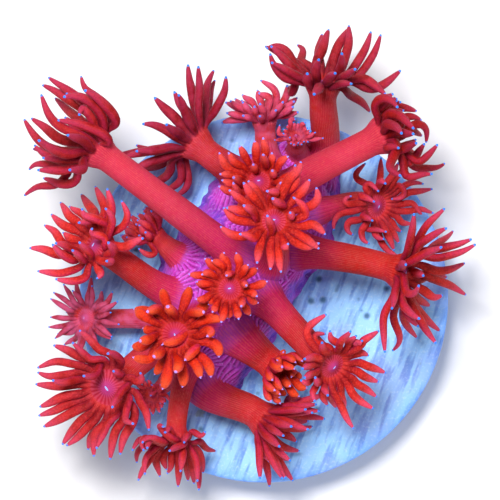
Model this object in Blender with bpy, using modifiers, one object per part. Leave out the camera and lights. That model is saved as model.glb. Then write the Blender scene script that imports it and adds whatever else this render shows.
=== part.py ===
"""Goniopora coral: a colony of long flower polyps grown on a round white disc.

The disc lies on the ground, with its centre at the origin. A mound of stony skeleton in
living tissue sits on it, and every polyp stands in a socket of the mound: a stalk that
bends to its own side, and a crown at its end. A crown is the ring of tentacles taken
together, as one turned body whose edge lies at the tentacles' tips.

All lengths below are in millimetres, and all angles are in degrees.
"""
import math
from collections import namedtuple

import bmesh
import bpy
from mathutils import Matrix, Vector

MM = 0.001
GAP = 0.3

DISC_RADIUS = 16.0
DISC_HEIGHT = 5.0
DISC_CHAMFER = 0.6
DISC_SIDES = 72

MOUND_CENTRE = (-1.6, 2.6)
MOUND_LENGTH = 24.0
MOUND_WIDTH = 12.4
MOUND_HEIGHT = 8.0
MOUND_HEADING = 65.0
MOUND_SIDES = 26
MOUND_RINGS = 13

# A stalk starts on its socket's floor, square to the mound, and arrives along its crown's
# axis. The two handles that bend it are these shares of its reach.
SOCKET_DEPTH = 0.7
STALK_LEAVES = 0.30
STALK_ARRIVES = 0.35
STALK_RESOLUTION = 6
STALK_ROUNDNESS = 3

# A tentacle's half thickness at the rim and at its tip, and how the calyx opens to the rim.
CROWN_BACK = 0.42
CROWN_EDGE = 0.2
CALYX_DEPTH = 0.5
CALYX_SLOPE = 1.2
# The crown's face is dished: its mouth lies at this share of the way from rim to tips.
MOUTH_LIFT = 0.55
CURLED_FROM = 20
CURLED_STEPS = 4
STRAIGHT_STEPS = 2
CROWN_FACETS_LARGE = 18
CROWN_FACETS_SMALL = 14
LARGE_ARM = 3.0
WELD = 1e-6

# root: the socket's place on the mound. neck: where the stalk ends and the crown begins.
# heading and rise: the way the crown looks. root_r and neck_r: the stalk's radii.
# rim: the radius at which the tentacles leave the crown. arm: their length.
# spread: the angle at which they leave, from the crown's axis. curl: how far they turn.
Polyp = namedtuple(
    "Polyp", "name root neck heading rise root_r neck_r rim arm spread curl"
)
POLYPS = [
    Polyp("01", (-2.4, 3.8), (-13.0, 11.8, 17.5), 143, 5, 1.35, 1.15, 1.7, 7.2, 62, -80),
    Polyp("02", (-2.1, 10.4), (-4.9, 12.5, 12.0), 140, -8, 1.3, 1.15, 1.6, 6.0, 52, 5),
    Polyp("03", (0.3, 11.5), (0.1, 14.3, 9.0), 95, 18, 0.95, 0.85, 1.1, 2.8, 55, 0),
    Polyp("04", (4.5, 12.1), (5.0, 17.1, 12.0), 88, 25, 1.3, 1.15, 1.6, 5.3, 58, 10),
    Polyp("05", (1.7, 9.1), (8.8, 13.2, 16.5), 28, 5, 1.45, 1.2, 1.7, 6.4, 62, -85),
    Polyp("06", (4.1, 7.4), (8.7, 8.3, 8.7), -20, 50, 0.95, 0.85, 1.5, 3.2, 76, 0),
    Polyp("07", (2.7, 4.2), (10.5, 2.7, 13.0), -18, 25, 1.35, 1.15, 1.7, 6.6, 62, -5),
    Polyp("08", (-0.1, 0.2), (5.0, -5.0, 15.0), -38, 45, 1.3, 1.15, 1.6, 4.1, 80, 0),
    Polyp("09", (-2.2, -3.0), (0.4, -5.3, 11.0), -40, 30, 1.5, 1.3, 1.4, 2.1, 55, -60),
    Polyp("10", (-5.0, -7.6), (-0.7, -9.8, 8.8), -36, 20, 1.4, 1.3, 1.6, 5.0, 40, 0),
    Polyp("11", (-6.0, -5.0), (-7.5, -10.8, 10.5), -93, 15, 0.95, 0.85, 1.2, 4.4, 62, -45),
    Polyp("12", (-7.2, -3.0), (-12.6, -7.0, 12.0), 215, 66, 1.2, 1.1, 2.1, 4.3, 85, 0),
    Polyp("13", (-5.2, -1.7), (-7.2, -2.8, 18.5), 200, 80, 1.25, 1.1, 1.6, 3.2, 95, 40),
    Polyp("14", (-2.95, 0.6), (-2.9, 0.9, 20.0), 100, 86, 1.25, 1.1, 1.4, 2.0, 90, 10),
    Polyp("15", (0.5, 3.3), (0.8, 6.3, 19.8), 95, 75, 1.25, 1.1, 1.5, 3.3, 85, -10),
    Polyp("16", (-0.5, 7.2), (-0.4, 9.6, 14.6), 100, 72, 1.25, 1.1, 1.4, 3.2, 62, -30),
    Polyp("17", (-7.4, 0.3), (-13.2, 3.9, 13.3), 150, 40, 1.25, 1.1, 1.8, 4.3, 66, 0),
    Polyp("18", (-7.0, 3.5), (-8.7, 4.8, 9.0), 140, 15, 0.85, 0.8, 1.0, 2.6, 60, -60),
    Polyp("19", (-8.5, -1.7), (-14.6, -1.7, 8.0), 175, 60, 0.85, 0.8, 1.3, 2.6, 85, 0),
    Polyp("20", (-7.5, -6.2), (-9.0, -7.8, 7.6), 215, 50, 0.7, 0.6, 0.9, 1.3, 70, 0),
    Polyp("21", (2.8, 12.3), (2.7, 13.2, 12.0), 90, 55, 0.75, 0.7, 0.9, 1.5, 55, 0),
]


def make_material(name, colour, roughness):
    material = bpy.data.materials.new(name)
    material.use_nodes = True
    shader = material.node_tree.nodes["Principled BSDF"]
    shader.inputs["Base Color"].default_value = (*colour, 1.0)
    shader.inputs["Roughness"].default_value = roughness
    shader.inputs["Metallic"].default_value = 0.0
    material.diffuse_color = (*colour, 1.0)
    return material


def make_collection(name):
    collection = bpy.data.collections.new(name)
    bpy.context.scene.collection.children.link(collection)
    return collection


def link(obj, collection, material=None):
    for owner in list(obj.users_collection):
        owner.objects.unlink(obj)
    collection.objects.link(obj)
    if material:
        obj.data.materials.append(material)
    return obj


def hide_cutter(obj, collection):
    link(obj, collection)
    obj.hide_render = True
    obj.display_type = "WIRE"
    return obj


def make_disc(collection, material):
    bpy.ops.mesh.primitive_cylinder_add(
        vertices=DISC_SIDES,
        radius=DISC_RADIUS * MM,
        depth=DISC_HEIGHT * MM,
        location=(0.0, 0.0, DISC_HEIGHT / 2 * MM),
    )
    disc = link(bpy.context.object, collection, material)
    disc.name = "frag_disc"
    edge = disc.modifiers.new("chamfer", "BEVEL")
    edge.width = DISC_CHAMFER * MM
    edge.segments = 1
    edge.limit_method = "ANGLE"
    disc.data.shade_smooth()
    disc.data.set_sharp_from_angle(angle=math.radians(30))
    return disc


def mound_frame():
    """The mound's long axis, short axis and half sizes."""
    heading = math.radians(MOUND_HEADING)
    long_axis = Vector((math.cos(heading), math.sin(heading), 0.0))
    short_axis = Vector((-math.sin(heading), math.cos(heading), 0.0))
    return long_axis, short_axis, (MOUND_LENGTH / 2, MOUND_WIDTH / 2, MOUND_HEIGHT)


def on_mound(x, y):
    """The point of the mound's surface over (x, y), and the way the surface faces there."""
    long_axis, short_axis, half = mound_frame()
    offset = Vector((x - MOUND_CENTRE[0], y - MOUND_CENTRE[1], 0.0))
    u = offset.dot(long_axis)
    v = offset.dot(short_axis)
    w = half[2] * math.sqrt(max(0.0, 1.0 - (u / half[0]) ** 2 - (v / half[1]) ** 2))
    facing = long_axis * (u / half[0] ** 2) + short_axis * (v / half[1] ** 2)
    facing = facing + Vector((0.0, 0.0, w / half[2] ** 2))
    return Vector((x, y, DISC_HEIGHT + w)), facing.normalized()


def make_mound(collection, cutters, material):
    bpy.ops.mesh.primitive_uv_sphere_add(
        segments=MOUND_SIDES,
        ring_count=MOUND_RINGS,
        radius=1.0,
        location=(MOUND_CENTRE[0] * MM, MOUND_CENTRE[1] * MM, DISC_HEIGHT * MM),
        rotation=(0.0, 0.0, math.radians(MOUND_HEADING)),
        scale=(MOUND_LENGTH / 2 * MM, MOUND_WIDTH / 2 * MM, MOUND_HEIGHT * MM),
    )
    mound = link(bpy.context.object, collection, material)
    mound.name = "colony_base"
    bpy.ops.mesh.primitive_cube_add(size=1.0)
    ground = hide_cutter(bpy.context.object, cutters)
    ground.name = "cut_ground"
    ground.scale = (3 * DISC_RADIUS * MM, 3 * DISC_RADIUS * MM, 2 * MOUND_HEIGHT * MM)
    ground.location = (0.0, 0.0, (DISC_HEIGHT + GAP - MOUND_HEIGHT) * MM)
    subtract(mound, ground)
    return mound


def subtract(obj, cutter):
    cut = obj.modifiers.new("cut_" + cutter.name, "BOOLEAN")
    cut.operation = "DIFFERENCE"
    cut.solver = "EXACT"
    cut.object = cutter
    return cut


def look(polyp):
    """The unit vector along which the crown looks."""
    heading = math.radians(polyp.heading)
    rise = math.radians(polyp.rise)
    flat = math.cos(rise)
    return Vector((flat * math.cos(heading), flat * math.sin(heading), math.sin(rise)))


def stalk_curve(polyp, name, grown):
    """A tube from the socket's floor to the neck, thicker by grown all round."""
    surface, facing = on_mound(*polyp.root)
    neck = Vector(polyp.neck)
    along = look(polyp)
    reach = (neck - surface).length
    floor = surface - facing * (SOCKET_DEPTH + grown)
    curve = bpy.data.curves.new(name, "CURVE")
    curve.dimensions = "3D"
    curve.resolution_u = STALK_RESOLUTION
    curve.bevel_depth = MM
    curve.bevel_resolution = STALK_ROUNDNESS
    curve.use_fill_caps = True
    spline = curve.splines.new("BEZIER")
    spline.bezier_points.add(1)
    start, end = spline.bezier_points
    start.co = floor * MM
    start.handle_right = (surface + facing * reach * STALK_LEAVES) * MM
    start.handle_left = (floor - facing) * MM
    start.radius = polyp.root_r + grown
    end.co = neck * MM
    end.handle_left = (neck - along * reach * STALK_ARRIVES) * MM
    end.handle_right = (neck + along) * MM
    end.radius = polyp.neck_r + grown
    return bpy.data.objects.new(name, curve)


def curve_to_mesh(tube, collection):
    """The tube as a closed mesh object, in place of the curve object."""
    bpy.context.view_layer.update()
    graph = bpy.context.evaluated_depsgraph_get()
    mesh = bpy.data.meshes.new_from_object(tube.evaluated_get(graph))
    work = bmesh.new()
    work.from_mesh(mesh)
    bmesh.ops.remove_doubles(work, verts=work.verts, dist=WELD)
    work.to_mesh(mesh)
    work.free()
    name = tube.name
    place = tube.matrix_world.copy()
    bpy.data.objects.remove(tube)
    solid = bpy.data.objects.new(name, mesh)
    solid.matrix_world = place
    collection.objects.link(solid)
    return solid


def arm_line(polyp):
    """The middle line of a tentacle, as (radius, height) points from the rim to its tip."""
    steps = CURLED_STEPS if abs(polyp.curl) > CURLED_FROM else STRAIGHT_STEPS
    stride = polyp.arm / steps
    rim_height = (polyp.rim - polyp.neck_r) * CALYX_SLOPE + CALYX_DEPTH
    line = [(polyp.rim, rim_height)]
    for i in range(steps):
        angle = math.radians(polyp.spread + polyp.curl * (i + 0.5) / steps)
        radius, height = line[-1]
        line.append((radius + stride * math.sin(angle), height + stride * math.cos(angle)))
    return line


def crown_side(line, side):
    """The tentacles' line moved by half their thickness: out with side 1, in with side -1."""
    last = len(line) - 1
    moved = []
    for i, (radius, height) in enumerate(line):
        before = line[max(i - 1, 0)]
        after = line[min(i + 1, last)]
        run = Vector((after[0] - before[0], after[1] - before[1])).normalized()
        half = side * (CROWN_BACK + (CROWN_EDGE - CROWN_BACK) * i / last)
        moved.append((radius + run.y * half, height - run.x * half))
    return moved


def crown_face(line):
    """The crown's front, from the mouth to the edge: a dish, or a dome where the arms droop."""
    rim_height = line[0][1]
    tip_radius, tip_height = line[-1]
    if tip_height < rim_height - CROWN_BACK:
        return [(0.0, rim_height)] + crown_side(line, -1)
    mouth_height = rim_height + MOUTH_LIFT * max(tip_height - rim_height, 0.0)
    dish = (tip_radius / 2, (mouth_height + tip_height) / 2)
    return [(0.0, mouth_height), dish, (tip_radius - CROWN_EDGE, tip_height + CROWN_EDGE)]


def crown_outline(polyp):
    """The outline of the turned crown, from its mouth over the edge down to its neck."""
    line = arm_line(polyp)
    return crown_face(line) + crown_side(line, 1)[::-1] + [(polyp.neck_r, 0.0), (0.0, 0.0)]


def make_crown(polyp, collection, material):
    outline = crown_outline(polyp)
    mesh = bpy.data.meshes.new("crown_" + polyp.name)
    points = [(radius * MM, 0.0, height * MM) for radius, height in outline]
    edges = [(i, i + 1) for i in range(len(points) - 1)]
    mesh.from_pydata(points, edges, [])
    crown = bpy.data.objects.new("crown_" + polyp.name, mesh)
    link(crown, collection, material)
    turn = crown.modifiers.new("turned", "SCREW")
    facets = CROWN_FACETS_LARGE if polyp.arm > LARGE_ARM else CROWN_FACETS_SMALL
    turn.steps = facets
    turn.render_steps = facets
    turn.use_merge_vertices = True
    turn.merge_threshold = WELD
    turn.use_smooth_shade = True
    along = look(polyp)
    facing = along.to_track_quat("Z", "Y").to_matrix().to_4x4()
    place = Matrix.Translation((Vector(polyp.neck) + along * GAP) * MM)
    crown.matrix_world = place @ facing
    return crown


def make_polyp(polyp, mound, parts, cutters, materials):
    stalk = stalk_curve(polyp, "stalk_" + polyp.name, 0.0)
    link(stalk, parts, materials["stalk"])
    grown = stalk_curve(polyp, "cut_stalk_" + polyp.name, GAP)
    cutters.objects.link(grown)
    socket = curve_to_mesh(grown, cutters)
    hide_cutter(socket, cutters)
    subtract(mound, socket)
    make_crown(polyp, parts, materials["crown"])


def build():
    for obj in list(bpy.data.objects):
        bpy.data.objects.remove(obj)
    parts = make_collection("goniopora_coral")
    cutters = make_collection("cutters")
    materials = {
        "disc": make_material("disc_white", (0.62, 0.78, 0.95), 0.6),
        "mound": make_material("tissue_purple", (0.35, 0.07, 0.38), 0.55),
        "stalk": make_material("stalk_crimson", (0.55, 0.03, 0.07), 0.5),
        "crown": make_material("crown_scarlet", (0.70, 0.05, 0.03), 0.5),
    }
    make_disc(parts, materials["disc"])
    mound = make_mound(parts, cutters, materials["mound"])
    for polyp in POLYPS:
        make_polyp(polyp, mound, parts, cutters, materials)


build()
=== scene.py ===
"""The looks of a goniopora coral: a colony of long flower polyps grown on a round white disc.

The colony has twenty-one polyps. Each is one soft body: a ribbed column that grows out of the
mound of tissue, a calyx, a mouth disc and a ring of 24 tentacles. A polyp takes the place of
its plain stalk and crown in the frame. The mound and the disc take the place of theirs.

All lengths below are in millimetres and all angles in degrees, unless a name says otherwise.
"""
import math
from collections import namedtuple

import bpy
import numpy as np
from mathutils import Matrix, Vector, kdtree, noise


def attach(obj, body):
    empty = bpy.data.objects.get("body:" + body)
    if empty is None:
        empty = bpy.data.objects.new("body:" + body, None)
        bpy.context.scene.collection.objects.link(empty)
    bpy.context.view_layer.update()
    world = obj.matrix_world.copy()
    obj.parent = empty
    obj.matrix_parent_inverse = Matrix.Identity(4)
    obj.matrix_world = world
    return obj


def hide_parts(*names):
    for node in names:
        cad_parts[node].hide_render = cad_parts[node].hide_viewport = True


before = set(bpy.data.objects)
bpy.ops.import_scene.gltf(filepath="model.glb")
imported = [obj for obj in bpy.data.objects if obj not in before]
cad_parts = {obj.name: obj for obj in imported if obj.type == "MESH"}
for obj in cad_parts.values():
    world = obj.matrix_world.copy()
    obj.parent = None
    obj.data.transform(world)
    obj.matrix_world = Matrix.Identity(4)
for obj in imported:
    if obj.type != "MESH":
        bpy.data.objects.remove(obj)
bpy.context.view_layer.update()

MM = 0.001
TINY = 1e-6
SEED = 7

DISC_RADIUS = 16.0
DISC_HEIGHT = 5.0
MOUND_CENTRE = (-1.6, 2.6)
MOUND_LENGTH = 24.0
MOUND_WIDTH = 12.4
MOUND_HEIGHT = 8.0
MOUND_HEADING = 65.0
# Where the mound's foot bulges or draws in: heading and width in degrees, share of its half size.
MOUND_LOBES = (
    (-98.0, 34.0, -0.24), (-45.0, 20.0, 0.08), (108.0, 16.0, 0.08), (142.0, 18.0, -0.12), (50.0, 30.0, -0.03),
)

# The camera looks straight down. At the disc's top this many of the photograph's pixels,
# whose frame is 500 wide and high, measure one millimetre.
CAMERA = (-1.209, 4.189, 400.0)
FRAME_PIXELS = 500
PIXELS_PER_MM = 11.54
SENSOR = 36.0

# How a stalk bends and how the calyx opens from its neck to the rim, as in the frame.
SOCKET_DEPTH = 0.7
STALK_LEAVES = 0.30
STALK_ARRIVES = 0.35
NECK_GAP = 0.3
CALYX_DEPTH = 0.5
CALYX_SLOPE = 1.2

# A column has two points to each of the 24 sectors that end in a tentacle, and a ring of them
# at every ring step. A skirt widens its root, where its ribs are deepest.
SECTORS = 24
AROUND = 2 * SECTORS
LINE_POINTS = 60
RING_STEP = 0.55
SKIRT = 0.75
SKIRT_HEIGHT = 0.8
RIB = 0.018
ROOT_RIB = 0.085
ROOT_RIB_HEIGHT = 2.2
# The calyx, the notches of its rim between tentacles, and the cone of the mouth disc inside it.
CALYX_RINGS = 4
RIM_WALL = 0.5
RIM_NOTCH = 0.12
MOUTH_CONE = 0.5

# A tentacle's rings in shares of its body, and its half width at some of them in shares of the
# polyp's own, for pointed and for fat-ended tentacles.
BODY_STEPS = (0.05, 0.13, 0.23, 0.34, 0.46, 0.58, 0.70, 0.81, 0.91, 1.0)
BODY_AT = (0.0, 0.12, 0.3, 0.5, 0.7, 0.85, 1.0)
SLIM_BODY = (0.74, 0.86, 0.97, 1.0, 0.92, 0.72, 0.36)
BLUNT_BODY = (0.70, 0.82, 0.94, 1.0, 1.06, 0.98, 0.50)
# The bead that ends a tentacle: how far back from the tip it begins and its rings lie, and their
# radii. They are scaled by this, by this much less on fat-ended tentacles, and in proportion on
# those thinner than usual.
BEAD_LENGTH = 0.2
BEAD_BACK = (0.14, 0.09, 0.02)
BEAD_RADII = (0.075, 0.085, 0.055)
BEAD_SCALE = 1.3
BLUNT_BEAD_LOSS = 0.5
USUAL_THICK = 0.4
# How much a hexagon shrinks when it is smoothed, how flat a tentacle is, and how far neighbours
# may overlap where they are crowded.
HEXAGON_SHRINK = 0.87
FLATNESS = 0.88
CROWDING = 1.12

# How steeply a tentacle may come up, run along or fall away: its rise over its run.
UP_SLOPE = 2.2
LEVEL_SLOPE = 0.45
DOWN_SLOPE = 1.2
# How low a seen tentacle may pass over the disc's top, and beside the disc over the ground, and
# how far out from the disc its top still counts.
OVER_DISC = 0.6
OVER_GROUND = 0.8
DISC_MARGIN = 1.0
# How much more or less the tentacles of the two cycles spread.
CYCLES = (-11.0, 7.0)
# What reach costs beside a miss when seen tentacles are given to sectors, how often sectors swap
# them, and the cost at which one is left out.
REACH_COST = 0.15
SWAP_ROUNDS = 6
WORST_COST = 0.6
# How far a seen tentacle first leans to the crown's axis, and for what share of its first stretch.
START_LEAN = 0.3
START_SHARE = 0.4
# The points of a tentacle's curve, and how often a seen one's corners are eased.
CURVE_POINTS = 48
FREE_POINTS = 40
EASINGS = 22
# How long tentacles without a seen tip are, as a share of the polyp's own length.
USUAL_SHARE = 0.95
UNSEEN_SHARE = {"01": 0.7, "05": 0.42, "09": 1.15, "21": 0.55}

# Polyps with paler, pinker columns, and how much painted shade darkens a polyp's tentacles, from 0 to 1.
PALE_COLUMNS = ("01", "05")
DEPTH_SHADE_AMOUNT = {
    "01": 0.75, "02": 1.0, "04": 0.9, "05": 0.9, "06": 0.35, "07": 0.4, "10": 0.4, "11": 0.5, "12": 0.4,
    "19": 0.9,
}

# root: the column's place on the mound. neck: where the crown begins. heading and rise: the
# way the crown looks. root_r, neck_r, rim: radii of the column and of the tentacles' ring.
# arm: a tentacle's length. spread: its angle from the crown's axis. curl: how far it turns.
# thick: half its width. blunt: 0 for pointed tentacles, 1 for fat-ended ones. tone: 0 for
# scarlet polyps, 1 for lilac ones.
Polyp = namedtuple(
    "Polyp",
    "name root neck heading rise root_r neck_r rim arm spread curl thick blunt tone",
)
POLYPS = [
    Polyp("01", (-2.4, 3.8), (-13.0, 11.8, 17.5), 143, 5, 1.35, 1.15, 1.7, 7.2, 62, -80, 0.46, 0.0, 0.3),
    Polyp("02", (-2.1, 10.4), (-4.9, 12.5, 12.0), 140, -8, 1.3, 1.15, 1.6, 6.0, 52, 5, 0.46, 0.0, 0.5),
    Polyp("03", (0.3, 11.5), (0.1, 14.3, 9.0), 95, 18, 0.95, 0.85, 1.1, 2.8, 55, 0, 0.42, 0.2, 0.9),
    Polyp("04", (4.5, 12.1), (5.0, 17.1, 12.0), 88, 25, 1.3, 1.15, 1.6, 5.3, 58, 10, 0.46, 0.0, 0.4),
    Polyp("05", (1.7, 9.1), (8.8, 13.2, 16.5), 28, 5, 1.45, 1.2, 1.7, 6.4, 62, -85, 0.44, 0.0, 0.15),
    Polyp("06", (4.1, 7.4), (8.7, 8.3, 8.7), -20, 50, 0.95, 0.85, 1.5, 3.2, 76, 0, 0.35, 0.0, 0.35),
    Polyp("07", (2.7, 4.2), (10.5, 2.7, 13.0), -18, 25, 1.35, 1.15, 1.7, 6.6, 62, -5, 0.42, 0.0, 0.15),
    Polyp("08", (-0.1, 0.2), (5.0, -5.0, 15.0), -38, 45, 1.3, 1.15, 1.6, 4.1, 80, 0, 0.39, 0.0, 0.2),
    Polyp("09", (-2.2, -3.0), (0.4, -5.3, 11.0), -40, 30, 1.5, 1.3, 1.4, 2.1, 55, -60, 0.39, 1.0, 0.1),
    Polyp("10", (-5.0, -7.6), (-0.7, -9.8, 8.8), -36, 20, 1.4, 1.3, 1.6, 5.0, 40, 0, 0.40, 0.0, 0.3),
    Polyp("11", (-6.0, -5.0), (-7.5, -10.8, 10.5), -93, 15, 0.95, 0.85, 1.2, 4.4, 62, -45, 0.37, 0.1, 0.3),
    Polyp("12", (-7.2, -3.0), (-12.6, -7.0, 12.0), 215, 66, 1.2, 1.1, 2.1, 4.3, 85, 0, 0.42, 0.1, 0.35),
    Polyp("13", (-5.2, -1.7), (-7.2, -2.8, 18.5), 200, 80, 1.25, 1.1, 1.6, 3.2, 95, 40, 0.48, 1.0, 0.0),
    Polyp("14", (-2.95, 0.6), (-2.9, 0.9, 20.0), 100, 86, 1.25, 1.1, 1.4, 2.0, 90, 10, 0.39, 0.7, 0.0),
    Polyp("15", (0.5, 3.3), (0.8, 6.3, 19.8), 95, 75, 1.25, 1.1, 1.5, 3.3, 85, -10, 0.42, 0.3, 0.1),
    Polyp("16", (-0.5, 7.2), (-0.4, 9.6, 14.6), 100, 72, 1.25, 1.1, 1.4, 3.2, 62, -30, 0.39, 0.6, 0.1),
    Polyp("17", (-7.4, 0.3), (-13.2, 3.9, 13.3), 150, 40, 1.25, 1.1, 1.8, 4.3, 66, 0, 0.42, 0.1, 0.25),
    Polyp("18", (-7.0, 3.5), (-8.7, 4.8, 9.0), 140, 15, 0.85, 0.8, 1.0, 2.6, 60, -60, 0.36, 0.2, 0.4),
    Polyp("19", (-8.5, -1.7), (-14.6, -1.7, 8.0), 175, 60, 0.85, 0.8, 1.3, 2.6, 85, 0, 0.28, 0.0, 1.0),
    Polyp("20", (-7.5, -6.2), (-9.0, -7.8, 7.6), 215, 50, 0.7, 0.6, 0.9, 1.3, 70, 0, 0.22, 0.0, 0.6),
    Polyp("21", (2.8, 12.3), (2.7, 13.2, 12.0), 90, 55, 0.75, 0.7, 0.9, 1.5, 55, 0, 0.26, 0.0, 0.85),
]

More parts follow.
